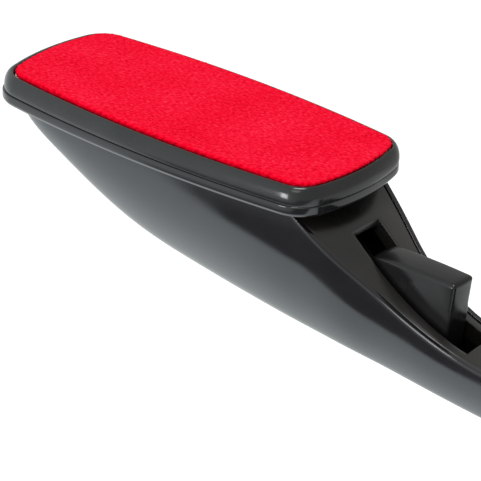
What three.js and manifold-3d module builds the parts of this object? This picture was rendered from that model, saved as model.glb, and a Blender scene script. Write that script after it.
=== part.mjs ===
// Hand-held velvet lint brush: a swivelling pad head on a boat-shaped hull and handle,
// with a thumb lever that pulls down the plunger locking the head.
// Millimetres. The origin is the centre of the pad's working face, +Z points out of the pad
// and +X along the handle. The brush is symmetric about the XZ plane.

import * as THREE from 'three';
import { mergeVertices } from 'three/addons/utils/BufferGeometryUtils.js';
import Module from 'manifold-3d';

const wasm = await Module();
wasm.setup();

// Driving dimensions

const GAP = 0.3; // between pieces that touch

const PAD_LENGTH = 113;
const PAD_WIDTH = 42.1;
const PAD_CORNER = 7.6;
const SIDE_BOW = 3.0; // how far the long sides swell in the middle
const END_BOW = 1.6; // how far the ends swell in the middle

// Levels of the head, from the working face down
const VELVET_BOTTOM = -1.6;
const FOAM_BOTTOM = -3.5;
const BOARD_BOTTOM = -5.8;
const BEZEL_TOP = -0.7;
const BEZEL_BOTTOM = -5.8;
const BASE_TOP = -6.1;
const BASE_BOTTOM = -9.1;
const BEZEL_OUT = 2.8; // widest reach of the bezel outside the pad's edge
const FLANGE_OUT = 3.3; // reach of the base's flange outside the pad's edge
const FLANGE_SHIFT = -0.7; // the flange stands out more at the bow end

// Hull and handle
const HULL_FRONT = -58.5;
const HULL_BACK = 178;
const HULL_TOP = -9.5;
const BOW_FLAT = 9; // half-width of the blunt front
const BOW_REACH = 20; // length over which the front rounds in
const TAIL_FLAT = 4;
const TAIL_REACH = 13;
const NECK_START = 49.5; // where the top line leaves the deck and dives to the handle
const NECK_END = 118;
const HANDLE_TOP = -41;
const WALL = 2.8;
const LIP = 1.7; // edge of the wall that stands round the deck and the cover
const PLATE = 2.0; // thickness of the deck and of the cover
const COVER_SINK = 0.3; // how far the cover's edge lies below the lip
const COVER_ROUND = 48; // radius of the cover's crowned face, across the handle
const CROWN_START = 51; // the crown rises between these two, clear of the head above
const CROWN_FULL = 63;
const POST_MEET = -50.2; // where the cover's screw posts stand on the shell's
const SQUARENESS = 2.2; // 2 is an elliptic cross-section, more is boxier

// Swivel
const HUB_RADIUS = 9;
const HUB_BOTTOM = -14.6;
const COLLAR_BOTTOM = -13.2;
const COLLAR_RADIUS = 11.8;
const RETAINER_RADIUS = 12.8;

// Lock and lever
const PLUNGER_X = 46;
const PLUNGER_RADIUS = 2.5;
const PLUNGER_TOP = BASE_BOTTOM - 0.25;
const FOOT_TOP = -24.9;
const FOOT_RADIUS = 4.8;
const SPRING_TOP = -26.9;
const SPRING_SEAT = -40.5;
const SPRING_RADIUS = 3.1; // to the middle of the wire
const SPRING_WIRE = 0.4;
const SPRING_TURNS = 6;
const PIVOT_X = 24;
const PIVOT_Z = -16.2;
const PIN_RADIUS = 1.6;
const LUG_WIDTH = 2.4; // of each ear that holds the pin
const LEVER_HALF_WIDTH = 4.8;
const SLOT_HALF_WIDTH = 5.7;
const SLOT_FRONT = 61;
const SLOT_BACK = 101.6;

// Screws: places are [x, y], face is the outer face of the head, and direction is +1 pointing up
const HEAD_SCREW = {
  places: [[-40, -12], [-40, 12], [40, -12], [40, 12]],
  face: BASE_BOTTOM + 0.1, direction: 1, headRadius: 2.2, headHeight: 1.2, shankRadius: 1.1, length: 4.1,
};
const DECK_SCREW = {
  places: [[-37, -10], [-37, 10], [34, -14], [34, 14]],
  face: -9.6, direction: -1, headRadius: 2.6, headHeight: 1.2, shankRadius: 1.2, length: 9,
};
const COVER_SCREW = {
  places: [[124, 0], [160, 0]],
  face: -57.6, direction: 1, headRadius: 2.6, headHeight: 1.6, shankRadius: 1.2, length: 13.2,
};
const SWIVEL_SCREW = {
  places: [[0, 0]],
  face: -18.2, direction: 1, headRadius: 4, headHeight: 2, shankRadius: 1.6, length: 7.6,
};

// Colours
const glossBlack = () => new THREE.MeshStandardMaterial({ color: 0x17181a, roughness: 0.14, metalness: 0 });
const satinBlack = () => new THREE.MeshStandardMaterial({ color: 0x222222, roughness: 0.38, metalness: 0 });
const steel = () => new THREE.MeshStandardMaterial({ color: 0xb4b7ba, roughness: 0.3, metalness: 1 });
const redVelvet = () => new THREE.MeshStandardMaterial({ color: 0xe00a22, roughness: 0.95, metalness: 0 });
const paleFoam = () => new THREE.MeshStandardMaterial({ color: 0xe6e2d6, roughness: 0.9, metalness: 0 });

// Solids: closed meshes in and out of the boolean library

function toSolid(geometry) {
  const bare = geometry.clone();
  bare.deleteAttribute('normal');
  bare.deleteAttribute('uv');
  const merged = mergeVertices(bare, 1e-4);
  return new wasm.Manifold(new wasm.Mesh({
    numProp: 3,
    vertProperties: new Float32Array(merged.attributes.position.array),
    triVerts: new Uint32Array(merged.index.array),
  }));
}

function toGeometry(solid) {
  const mesh = solid.getMesh();
  const geometry = new THREE.BufferGeometry();
  geometry.setAttribute('position', new THREE.BufferAttribute(new Float32Array(mesh.vertProperties), 3));
  geometry.setIndex(new THREE.BufferAttribute(new Uint32Array(mesh.triVerts), 1));
  return geometry;
}

// Joins a list of equal rings of points into one closed surface. The rings close on themselves;
// the first and last ring are capped, or joined to each other when the run is a loop.
function skin(rings, outline, loop) {
  const count = rings[0].length;
  const faces = [];
  const spans = loop ? rings.length : rings.length - 1;
  for (let i = 0; i < spans; i++) {
    const here = i * count;
    const there = ((i + 1) % rings.length) * count;
    for (let j = 0; j < count; j++) {
      const next = (j + 1) % count;
      faces.push(here + j, here + next, there + next, here + j, there + next, there + j);
    }
  }
  if (!loop) {
    const last = (rings.length - 1) * count;
    for (const [a, b, c] of THREE.ShapeUtils.triangulateShape(outline(0), [])) faces.push(a, c, b);
    for (const [a, b, c] of THREE.ShapeUtils.triangulateShape(outline(rings.length - 1), [])) {
      faces.push(last + a, last + b, last + c);
    }
  }
  const geometry = new THREE.BufferGeometry();
  geometry.setAttribute('position', new THREE.Float32BufferAttribute(rings.flat(2), 3));
  geometry.setIndex(faces);
  return geometry;
}

// A box between two corners
function block(low, high) {
  const size = high.map((value, i) => value - low[i]);
  const middle = high.map((value, i) => (value + low[i]) / 2);
  return new THREE.BoxGeometry(...size).translate(...middle);
}

// A body turned about a vertical axis from [radius, z] points, lowest first
function turned(profile, sides, x = 0, y = 0) {
  const points = profile.map(([radius, z]) => new THREE.Vector2(radius, z));
  return new THREE.LatheGeometry(points, sides).rotateX(Math.PI / 2).translate(x, y, 0);
}

// A vertical rod, or the cutter for a round hole
function rod(radius, bottom, top, sides, x = 0, y = 0) {
  return turned([[0, bottom], [radius, bottom], [radius, top], [0, top]], sides, x, y);
}

// Pan-head screw
function screw({ face, direction, headRadius, headHeight, shankRadius, length }) {
  const body = turned([
    [0, 0], [headRadius - 0.6, 0], [headRadius, 0.6], [headRadius, headHeight], [shankRadius, headHeight],
    [shankRadius, length - 1], [shankRadius * 0.4, length], [0, length],
  ], 12);
  if (direction < 0) body.rotateX(Math.PI);
  return body.translate(0, 0, face);
}

// Cuts each screw's hole and the counterbore for its head, GAP clear of the screw all round.
// The counterbore is left out of a piece that only takes the shank.
function drill(solid, kind, counterbore) {
  const { places, face, direction, headRadius, headHeight, shankRadius, length } = kind;
  const seat = face + direction * (headHeight + GAP);
  const tip = face + direction * (length + GAP);
  const outside = face - direction * 5;
  let result = solid;
  for (const [x, y] of places) {
    const shank = rod(shankRadius + GAP, Math.min(face, tip), Math.max(face, tip), 10, x, y);
    const head = rod(headRadius + GAP, Math.min(outside, seat), Math.max(outside, seat), 12, x, y);
    result = result.subtract(toSolid(shank));
    if (counterbore) result = result.subtract(toSolid(head));
  }
  return result;
}

// The head's outline

// A rounded rectangle with swelling sides and ends, grown outwards by offset. Counter-clockwise.
function headOutline(offset) {
  const halfLength = PAD_LENGTH / 2 - PAD_CORNER;
  const halfWidth = PAD_WIDTH / 2 - PAD_CORNER;
  const radius = PAD_CORNER + offset;
  const sideRadius = (halfLength ** 2 + SIDE_BOW ** 2) / (2 * SIDE_BOW);
  const endRadius = (halfWidth ** 2 + END_BOW ** 2) / (2 * END_BOW);
  const sideAngle = Math.asin(halfLength / sideRadius);
  const endAngle = Math.asin(halfWidth / endRadius);
  const toSide = Math.PI / 2 - sideAngle;
  const half = [];
  const arc = (x, y, r, from, to, steps) => {
    for (let i = 0; i < steps; i++) {
      const angle = from + (to - from) * i / steps;
      half.push([x + r * Math.cos(angle), y + r * Math.sin(angle)]);
    }
  };
  arc(halfLength + END_BOW - endRadius, 0, endRadius + radius, -endAngle, endAngle, 3);
  arc(halfLength, halfWidth, radius, endAngle, toSide, 5);
  arc(0, halfWidth + SIDE_BOW - sideRadius, sideRadius + radius, toSide, Math.PI - toSide, 5);
  arc(-halfLength, halfWidth, radius, Math.PI - toSide, Math.PI - endAngle, 5);
  return half.concat(half.map(([x, y]) => [-x, -y]));
}

// A body whose edge follows the head's outline, from [offset, z] points, lowest first.
// With loop it is a hollow rim and the points go round its section.
function headBody(profile, loop = false) {
  const rings = profile.map(([offset, z]) => headOutline(offset).map(([x, y]) => [x, y, z]));
  const outline = (index) => rings[index].map(([x, y]) => new THREE.Vector2(x, y));
  return skin(rings, outline, loop);
}

// The hull's lines: height or half-width as a function of x

function lineThrough(curve) {
  const points = curve.getPoints(200);
  return (x) => {
    const after = Math.max(1, points.findIndex((point) => point.x >= x));
    const a = points[after - 1];
    const b = points[after];
    return a.y + (b.y - a.y) * (x - a.x) / (b.x - a.x);
  };
}

const vectors = (points) => points.map(([x, y]) => new THREE.Vector2(x, y));
const spline = (points) => lineThrough(new THREE.SplineCurve(vectors(points)));

const neckSlope = -0.83;
const neckReach = 26;
const neckLine = lineThrough(new THREE.CubicBezierCurve(
  new THREE.Vector2(NECK_START, HULL_TOP),
  new THREE.Vector2(NECK_START + neckReach, HULL_TOP + neckSlope * neckReach),
  new THREE.Vector2(NECK_END - neckReach, HANDLE_TOP),
  new THREE.Vector2(NECK_END, HANDLE_TOP),
));
const keelLine = spline([
  [-60, -14.5], [-49, -21.5], [-38, -29], [-26, -36.4], [-12, -42.4], [8, -46.8], [40, -51.7],
  [70, -55.7], [100, -58.8], [130, -60], [156, -59.8], [172, -57.5], [182, -51],
]);
const sideLine = spline([
  [-60, 20], [-20, 21.2], [20, 21.5], [46, 20.2], [56, 18.6], [64, 16.4], [72, 13.6], [86, 11.3],
  [100, 10.5], [125, 11], [150, 12], [182, 12],
]);

function topLine(x) {
  if (x <= NECK_START) return HULL_TOP;
  return x >= NECK_END ? HANDLE_TOP : neckLine(x);
}

// 0 at an end of the hull, rising along a quarter ellipse to 1 where the full width is reached
function roundEnd(distance, reach) {
  if (distance >= reach) return 1;
  return distance <= 0 ? 0 : Math.sqrt(1 - (1 - distance / reach) ** 2);
}

function halfWidth(x, inset) {
  const side = sideLine(x) - inset;
  const bow = BOW_FLAT + (side - BOW_FLAT) * roundEnd(x - HULL_FRONT - inset, BOW_REACH);
  const tail = TAIL_FLAT + (side - TAIL_FLAT) * roundEnd(HULL_BACK - inset - x, TAIL_REACH);
  return Math.min(bow, tail);
}

function floorLine(x, inset) {
  const slope = (keelLine(x + 1) - keelLine(x - 1)) / 2;
  return keelLine(x) + inset * Math.hypot(1, slope);
}

// x of each cross-section, closer together where the lines turn
function stations(from, to, inset) {
  const bends = [
    -54, -51, -46, -40, -32, -20, 0, 25, 49.4, 49.6, 56, 63, 70, 78, 86, 94, 103, 118,
    140, 160, 168, 173, 176,
  ];
  return [from + inset, ...bends.filter((x) => x > from + inset + 1 && x < to - inset - 1), to - inset];
}

// A body made of cross-sections along x. section(x) gives its [y, z] points, counter-clockwise
// seen from the handle.
function loft(list, section) {
  const rings = list.map((x) => section(x).map(([y, z]) => [x, y, z]));
  const outline = (index) => rings[index].map((point) => new THREE.Vector2(point[1], point[2]));
  return skin(rings, outline, false);
}

// The hull's cross-section, inset from the outer skin, its top raised by rise
function hullSection(x, inset, rise) {
  const steps = 14;
  const width = halfWidth(x, inset);
  const top = topLine(x);
  const depth = top - floorLine(x, inset);
  const points = rise > 0 ? [[-width, top + rise]] : [];
  for (let i = 0; i <= steps; i++) {
    const angle = Math.PI * i / steps;
    const across = Math.abs(Math.cos(angle)) ** (2 / SQUARENESS) * Math.sign(Math.cos(angle));
    const down = Math.abs(Math.sin(angle)) ** (2 / SQUARENESS);
    points.push([-width * across, top - depth * down]);
  }
  if (rise > 0) points.push([width, top + rise]);
  return points;
}

// A plate's cross-section between two depths below the top line
const plateSection = (x, inset, upper, lower) => {
  const width = halfWidth(x, inset);
  const top = topLine(x);
  return [[-width, top - upper], [-width, top - lower], [width, top - lower], [width, top - upper]];
};

// How far the cover's face rises above its edge
function crown(x, y) {
  const side = halfWidth(x, LIP + GAP);
  const height = Math.max(0, (side * side - y * y) / (2 * COVER_ROUND));
  return height * THREE.MathUtils.smoothstep(x, CROWN_START, CROWN_FULL);
}

function coverSection(x) {
  const side = halfWidth(x, LIP + GAP);
  const across = [-1, -0.75, -0.5, -0.25, 0, 0.25, 0.5, 0.75, 1].map((share) => share * side);
  const face = (drop) => across.map((y) => [y, topLine(x) - drop + crown(x, y)]);
  return [...face(COVER_SINK + PLATE), ...face(COVER_SINK).reverse()];
}

// Pieces of the handle body

const outerHull = toSolid(loft(stations(HULL_FRONT, HULL_BACK, 0), (x) => hullSection(x, 0, 0)));

function bodyShell() {
  const above = 12;
  const ledge = COVER_SINK + PLATE + GAP;
  const along = (inset) => stations(HULL_FRONT, HULL_BACK, inset);
  const cavity = loft(along(WALL), (x) => hullSection(x, WALL, above));
  const rebate = loft(along(LIP), (x) => plateSection(x, LIP, -above, ledge));
  let shell = outerHull.subtract(toSolid(cavity)).subtract(toSolid(rebate));
  for (const [x, y] of DECK_SCREW.places) {
    shell = shell.add(toSolid(rod(3.1, -50, HULL_TOP - ledge, 10, x, y)).intersect(outerHull));
  }
  const seat = toSolid(rod(4.6, -60, SPRING_SEAT, 12, PLUNGER_X, 0)).intersect(outerHull);
  const pip = toSolid(rod(2, SPRING_SEAT - 1, SPRING_SEAT + 2.4, 10, PLUNGER_X, 0));
  shell = shell.add(seat).add(pip);
  for (const [x, y] of COVER_SCREW.places) {
    shell = shell.add(toSolid(rod(4.6, -61, POST_MEET - GAP, 12, x, y)).intersect(outerHull));
  }
  return drill(drill(shell, DECK_SCREW, false), COVER_SCREW, true);
}

function swivelDeck() {
  const inset = LIP + GAP;
  const span = stations(HULL_FRONT, NECK_START + inset - 0.3, inset);
  const bottom = HULL_TOP - PLATE - COVER_SINK;
  let deck = toSolid(loft(span, (x) => plateSection(x, inset, 0, PLATE + COVER_SINK)));
  deck = deck.add(toSolid(rod(COLLAR_RADIUS, COLLAR_BOTTOM, bottom + 0.5, 24)));
  deck = deck.subtract(toSolid(rod(HUB_RADIUS + GAP, -20, 0, 24)));
  deck = deck.subtract(toSolid(rod(PLUNGER_RADIUS + GAP, -20, 0, 16, PLUNGER_X, 0)));
  for (const side of [-1, 1]) {
    const middle = side * (LEVER_HALF_WIDTH + GAP + LUG_WIDTH / 2);
    const low = [PIVOT_X - 3.4, middle - LUG_WIDTH / 2, PIVOT_Z - 3.4];
    const high = [PIVOT_X + 3.4, middle + LUG_WIDTH / 2, bottom + 0.5];
    deck = deck.add(toSolid(block(low, high)));
  }
  const pinHole = rod(PIN_RADIUS + GAP / 2, -12, 12, 12);
  pinHole.rotateX(Math.PI / 2).translate(PIVOT_X, 0, PIVOT_Z);
  deck = deck.subtract(toSolid(pinHole));
  return drill(deck, DECK_SCREW, true);
}

function handleCover() {
  const inset = LIP + GAP;
  const lower = COVER_SINK + PLATE;
  const span = stations(NECK_START + 0.4, HULL_BACK, 0).filter((x) => x < HULL_BACK - inset - 1);
  let cover = toSolid(loft([...span, HULL_BACK - inset], coverSection));
  const wallSpan = [56, 63, 70, 78, 86, 94, SLOT_BACK + 3];
  for (const side of [-1, 1]) {
    const near = side * SLOT_HALF_WIDTH;
    const far = side * (SLOT_HALF_WIDTH + 1.3);
    const wall = (x) => {
      const top = topLine(x) - COVER_SINK - 0.6 + crown(x, far);
      const bottom = topLine(x) - lower - 3;
      const [left, right] = [Math.min(near, far), Math.max(near, far)];
      return [[left, top], [left, bottom], [right, bottom], [right, top]];
    };
    cover = cover.add(toSolid(loft(wallSpan, wall)));
  }
  for (const [x, y] of COVER_SCREW.places) {
    const under = HANDLE_TOP - lower + crown(x, y);
    cover = cover.add(toSolid(rod(3.4, POST_MEET, under + 0.5, 12, x, y)));
  }
  cover = drill(cover, COVER_SCREW, false);
  const slot = block([SLOT_FRONT, -SLOT_HALF_WIDTH, -60], [SLOT_BACK, SLOT_HALF_WIDTH, 0]);
  return cover.subtract(toSolid(slot));
}

// Pieces of the head

const velvetPad = () => headBody([[-0.4, VELVET_BOTTOM], [0, VELVET_BOTTOM + 0.3], [0, -0.4], [-0.5, 0]]);
const padFoam = () => headBody([[-0.2, FOAM_BOTTOM], [-0.2, VELVET_BOTTOM - GAP]]);

function padBoard() {
  return drill(toSolid(headBody([[0, BOARD_BOTTOM], [0, FOAM_BOTTOM - GAP]])), HEAD_SCREW, false);
}

function headFrame() {
  const inner = 0.4;
  const middle = (BEZEL_TOP + BEZEL_BOTTOM) / 2;
  return headBody([
    [inner, BEZEL_BOTTOM], [BEZEL_OUT - 0.3, BEZEL_BOTTOM], [BEZEL_OUT, middle - 0.6],
    [BEZEL_OUT - 0.1, middle + 0.4], [BEZEL_OUT - 0.6, middle + 1.5], [BEZEL_OUT - 1.4, BEZEL_TOP - 0.2],
    [inner + 0.6, BEZEL_TOP], [inner, BEZEL_TOP - 0.5],
  ], true);
}

function headBase() {
  const flange = headBody([
    [FLANGE_OUT - 0.7, BASE_BOTTOM], [FLANGE_OUT, BASE_BOTTOM + 0.6], [FLANGE_OUT, BASE_TOP],
  ]);
  let base = toSolid(flange.translate(FLANGE_SHIFT, 0, 0));
  base = base.add(toSolid(rod(HUB_RADIUS, HUB_BOTTOM, BASE_BOTTOM + 0.5, 24)));
  for (const x of [-PLUNGER_X, PLUNGER_X]) {
    base = base.subtract(toSolid(rod(PLUNGER_RADIUS + 0.4, -20, 0, 16, x, 0)));
  }
  return drill(drill(base, HEAD_SCREW, true), SWIVEL_SCREW, false);
}

// A flat ring pressed into gentle waves, so that it pushes the hub's retainer away from the deck
function waveWasher() {
  const middle = (COLLAR_BOTTOM + HUB_BOTTOM - GAP) / 2;
  const inner = HUB_RADIUS + 0.7;
  const outer = inner + 2.2;
  const [bottom, top] = [middle - 0.25, middle + 0.25];
  const ring = turned([[inner, bottom], [outer, bottom], [outer, top], [inner, top], [inner, bottom]], 24);
  const position = ring.attributes.position;
  for (let i = 0; i < position.count; i++) {
    const angle = Math.atan2(position.getY(i), position.getX(i));
    position.setZ(i, position.getZ(i) + 0.25 * Math.cos(3 * angle));
  }
  return ring;
}

function retainer() {
  const bore = SWIVEL_SCREW.shankRadius + GAP;
  const rim = RETAINER_RADIUS;
  const top = HUB_BOTTOM - GAP;
  const bottom = top - 1;
  return turned([[bore, bottom], [rim, bottom], [rim, top], [bore, top], [bore, bottom]], 24);
}

// Lock and lever

// Round-nosed pin with a sloping foot that the lever presses on, and a spur inside the spring
function lockPlunger() {
  return turned([
    [0, SPRING_TOP - 4], [1.6, SPRING_TOP - 4], [2, SPRING_TOP - 3.4], [2, SPRING_TOP + GAP],
    [FOOT_RADIUS, SPRING_TOP + GAP], [FOOT_RADIUS, FOOT_TOP - 1], [PLUNGER_RADIUS, FOOT_TOP],
    [PLUNGER_RADIUS, PLUNGER_TOP - 0.8], [PLUNGER_RADIUS - 0.8, PLUNGER_TOP], [0, PLUNGER_TOP],
  ], 16, PLUNGER_X, 0);
}

class Helix extends THREE.Curve {
  getPoint(t, target = new THREE.Vector3()) {
    const angle = t * SPRING_TURNS * 2 * Math.PI;
    const low = SPRING_SEAT + GAP + SPRING_WIRE;
    const high = SPRING_TOP - GAP / 2 - SPRING_WIRE;
    return target.set(
      PLUNGER_X + SPRING_RADIUS * Math.cos(angle), SPRING_RADIUS * Math.sin(angle), low + (high - low) * t,
    );
  }
}

function lockSpring() {
  const wire = new THREE.Shape(Array.from({ length: 6 }, (_, i) => new THREE.Vector2(
    SPRING_WIRE * Math.cos(i * Math.PI / 3), SPRING_WIRE * Math.sin(i * Math.PI / 3),
  )));
  const steps = SPRING_TURNS * 12;
  return new THREE.ExtrudeGeometry(wire, { extrudePath: new Helix(), steps, bevelEnabled: false });
}

// Side view of the lever: eye, arm under the cover, slot over the plunger's foot, and the thumb
// pad that stands up through the slot in the cover
function releaseLever() {
  const eye = 3.6;
  const side = new THREE.Shape();
  side.absarc(PIVOT_X, PIVOT_Z, eye, Math.PI * 0.35, Math.PI * 1.5, false);
  side.lineTo(40, FOOT_TOP + GAP);
  side.lineTo(52, FOOT_TOP + GAP);
  side.quadraticCurveTo(60, -33.5, 68, -38.5);
  side.lineTo(84, -43.4);
  side.lineTo(93, -44.5);
  side.lineTo(95.5, -21.8);
  side.quadraticCurveTo(84, -21.2, 70, -21.7);
  side.quadraticCurveTo(66.3, -22, 65.2, -26.5);
  side.lineTo(64.5, -30.5);
  side.quadraticCurveTo(56, -23, 44, -18.4);
  side.closePath();
  const hole = new THREE.Path();
  hole.absarc(PIVOT_X, PIVOT_Z, PIN_RADIUS + GAP, 0, 2 * Math.PI, true);
  side.holes.push(hole);
  const depth = 2 * LEVER_HALF_WIDTH;
  const body = new THREE.ExtrudeGeometry(side, { depth, bevelEnabled: false, curveSegments: 8 });
  body.rotateX(Math.PI / 2).translate(0, LEVER_HALF_WIDTH, 0);
  const forkLow = [PLUNGER_X - PLUNGER_RADIUS - 0.5, -3, -40];
  const fork = block(forkLow, [PLUNGER_X + PLUNGER_RADIUS + 2.2, 3, -10]);
  return toSolid(body).subtract(toSolid(fork));
}

const leverPin = () => rod(PIN_RADIUS, -LEVER_HALF_WIDTH - 2.8, LEVER_HALF_WIDTH + 2.8, 12)
  .rotateX(Math.PI / 2).translate(PIVOT_X, 0, PIVOT_Z);

// Assembly

const brush = new THREE.Group();
brush.name = 'lint_brush';

function addPiece(name, shape, material) {
  const piece = new THREE.Mesh(shape.isBufferGeometry ? shape : toGeometry(shape), material);
  piece.name = name;
  brush.add(piece);
  return piece;
}

addPiece('body_shell', bodyShell(), glossBlack());
addPiece('swivel_deck', swivelDeck(), satinBlack());
addPiece('handle_cover', handleCover(), satinBlack());
addPiece('head_frame', headFrame(), glossBlack());
addPiece('head_base', headBase(), glossBlack());
addPiece('pad_board', padBoard(), satinBlack());
addPiece('pad_foam', padFoam(), paleFoam());
addPiece('velvet_pad', velvetPad(), redVelvet());
addPiece('swivel_washer', retainer(), steel());
addPiece('wave_washer', waveWasher(), steel());
addPiece('swivel_screw', screw(SWIVEL_SCREW), steel());
addPiece('lock_plunger', lockPlunger(), satinBlack());
addPiece('lock_spring', lockSpring(), steel());
addPiece('release_lever', releaseLever(), glossBlack());
addPiece('lever_pin', leverPin(), steel());

const repeated = { head_screw: HEAD_SCREW, deck_screw: DECK_SCREW, cover_screw: COVER_SCREW };
for (const [name, kind] of Object.entries(repeated)) {
  kind.places.forEach(([x, y], index) => {
    addPiece(`${name}_${index + 1}`, screw(kind), steel()).position.set(x, y, 0);
  });
}

export default brush;
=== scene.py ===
"""Looks of the swivel-head velvet lint brush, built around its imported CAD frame.

Lengths are in millimetres and turn into metres where a mesh is made. The frame is the CAD's: the origin is
the centre of the pad's working face, +Z points out of the pad and +X along the handle.
"""
import math
from collections import namedtuple

import bmesh
import bpy
import numpy as np
from mathutils import Matrix, Vector, noise


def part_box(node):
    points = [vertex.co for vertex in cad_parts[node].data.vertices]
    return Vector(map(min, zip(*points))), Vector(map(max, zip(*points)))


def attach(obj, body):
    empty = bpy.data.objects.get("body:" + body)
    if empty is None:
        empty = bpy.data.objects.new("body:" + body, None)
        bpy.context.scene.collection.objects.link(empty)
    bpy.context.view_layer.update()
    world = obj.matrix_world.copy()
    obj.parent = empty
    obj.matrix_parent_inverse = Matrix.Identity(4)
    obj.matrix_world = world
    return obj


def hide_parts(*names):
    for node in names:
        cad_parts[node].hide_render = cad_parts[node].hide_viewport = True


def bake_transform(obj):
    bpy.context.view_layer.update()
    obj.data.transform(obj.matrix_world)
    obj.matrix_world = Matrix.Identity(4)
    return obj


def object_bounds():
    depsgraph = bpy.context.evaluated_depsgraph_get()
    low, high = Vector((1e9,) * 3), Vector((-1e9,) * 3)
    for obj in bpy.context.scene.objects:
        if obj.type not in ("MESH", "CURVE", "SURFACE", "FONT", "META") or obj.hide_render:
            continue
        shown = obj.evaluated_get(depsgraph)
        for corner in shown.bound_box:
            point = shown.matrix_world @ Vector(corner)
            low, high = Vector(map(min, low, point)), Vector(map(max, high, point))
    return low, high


MM = 0.001
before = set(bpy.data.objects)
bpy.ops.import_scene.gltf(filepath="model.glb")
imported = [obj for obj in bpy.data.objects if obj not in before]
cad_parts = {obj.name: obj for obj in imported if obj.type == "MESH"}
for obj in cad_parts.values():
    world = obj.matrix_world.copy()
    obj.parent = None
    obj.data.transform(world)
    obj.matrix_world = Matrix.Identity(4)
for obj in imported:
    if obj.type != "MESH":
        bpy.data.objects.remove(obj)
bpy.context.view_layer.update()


def node_mm(name):
    """Lowest and highest corner of a CAD node, in mm."""
    low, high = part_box(name)
    return np.array(low) / MM, np.array(high) / MM


Screw = namedtuple("Screw", "x y radius bottom top")


def screw_place(node):
    """Where a CAD screw stands, the radius of its head and the heights of its two ends."""
    low, high = node_mm(node)
    x, y = (low[:2] + high[:2]) / 2
    return Screw(x, y, (high[0] - low[0]) / 2, low[2], high[2])


# ---------------------------------------------------------------- driving dimensions

GAP = 0.3  # clearance between neighbouring parts
PAD_CORNER = 7.6
SIDE_BOW = 3.0  # how far the pad's long sides swell
END_BOW = 1.6  # and its two ends
pad_low, pad_high = node_mm("velvet_pad")
PAD_LENGTH = pad_high[0] - pad_low[0] - 2 * END_BOW
PAD_WIDTH = pad_high[1] - pad_low[1] - 2 * SIDE_BOW

bezel_low, bezel_high = node_mm("head_frame")
BEZEL_OUT = bezel_high[0] - pad_high[0]  # how far it stands out past the pad, as the flange does below
base_low, base_high = node_mm("head_base")
FLANGE_OUT = (base_high[0] - base_low[0] - pad_high[0] + pad_low[0]) / 2
FLANGE_SHIFT = (base_high[0] + base_low[0]) / 2  # the flange stands out more at the bow end
FLANGE_THICKNESS = 3.0
FLANGE_BOTTOM = base_high[2] - FLANGE_THICKNESS
BEZEL_SHIFT = -0.35  # the bezel too, a little
SEAM = 0.14  # by how much bezel and flange each close the gap between their CAD bodies
HUB_BOTTOM, HUB_RADIUS = base_low[2], 9.0
SWIVEL_BORE, SWIVEL_BORE_DEPTH = 1.9, 4.3  # radius and depth of the hub's screw hole
HEAD_SCREW_BORE = 1.4
COLLAR_RADIUS, COLLAR_BOTTOM = 11.8, -13.2  # of the deck, round the hub

shell_low, shell_high = node_mm("body_shell")
HULL_FRONT, HULL_BACK, HULL_TOP = shell_low[0], shell_high[0], shell_high[2]
BOW_REACH, TAIL_REACH = 20.0, 13.0  # lengths of the hull's two rounded ends, seen from above
BOW_RISE, TAIL_RISE = 7.0, 8.0  # and over which the depth grows from the tips
NECK_START, NECK_END = 49.5, 118.0
NECK_SLOPE = -0.83  # of the top line where the neck starts
NECK_REACH = 26.0  # how far along the neck its first and last directions pull the curve
HANDLE_TOP = -41.0
WALL = 2.8
LIP = 1.7  # width of the hull's edge round deck and cover
PLATE = 2.0  # thickness of deck and cover
COVER_SINK = 0.3  # how far the cover lies below the hull's edge
LEDGE = COVER_SINK + PLATE + GAP  # depth of the ledge that deck and cover rest on
COVER_ROUND = 48.0  # radius of the cover's crowned face, across the handle
CROWN_START, CROWN_FULL = 51.0, 63.0
SQUARENESS = 2.2  # power of the superellipse that the hull's sections follow
SHOULDER_START, SHOULDER_END = 49.5, 80.0

LEVER_HALF_WIDTH = node_mm("release_lever")[1][1]
SLOT_FRONT, SLOT_BACK, SLOT_HALF_WIDTH = 61.0, 101.6, 5.7
SLOT_WALL = 1.3
pin_low, pin_high = node_mm("lever_pin")
PIVOT_X, PIVOT_Z = (pin_low[0] + pin_high[0]) / 2, (pin_low[2] + pin_high[2]) / 2
PIN_RADIUS = (pin_high[0] - pin_low[0]) / 2
PIN_BORE = 12.0  # half the length of the cutter for the pin's holes, wider than lever and ears
EAR_REACH = 3.4  # how far the deck's ears reach before and behind the pin
FORK_BEFORE, FORK_BEHIND, FORK_SIDE = 3.5, 4.7, 3.0  # room in the lever's fork round the plunger's axis
plunger_low, plunger_high = node_mm("lock_plunger")
PLUNGER_X = (plunger_low[0] + plunger_high[0]) / 2
PLUNGER_RADIUS = 2.5
LOCK_HOLE = PLUNGER_RADIUS + 0.4
spring_low, spring_high = node_mm("lock_spring")
SPRING_SEAT, SPRING_WIRE, SPRING_TURNS = spring_low[2] - GAP, 0.4, 6
SPRING_POST, DECK_POST, COVER_POST = 4.6, 3.1, 4.6  # radii of the posts in the hull
PIP_RADIUS, PIP_HEIGHT = 2.0, 2.4  # of the peg inside the spring
HANGING_POST = 3.4  # radius of the posts under the cover
POST_MEET = -50.2  # where those stand on the posts of the hull
SHANK_BORE = 1.5  # radius of a deck or cover screw's hole
SCREW_HEAD = 1.6  # height of a cover screw's head
RECESS = 1.5  # depth of the places for the heads of the other screws
HEAD_SCREWS = [f"head_screw_{number}" for number in range(1, 5)]
DECK_SCREWS = [f"deck_screw_{number}" for number in range(1, 5)]
COVER_SCREWS = ["cover_screw_1", "cover_screw_2"]

# ---------------------------------------------------------------- camera

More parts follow.
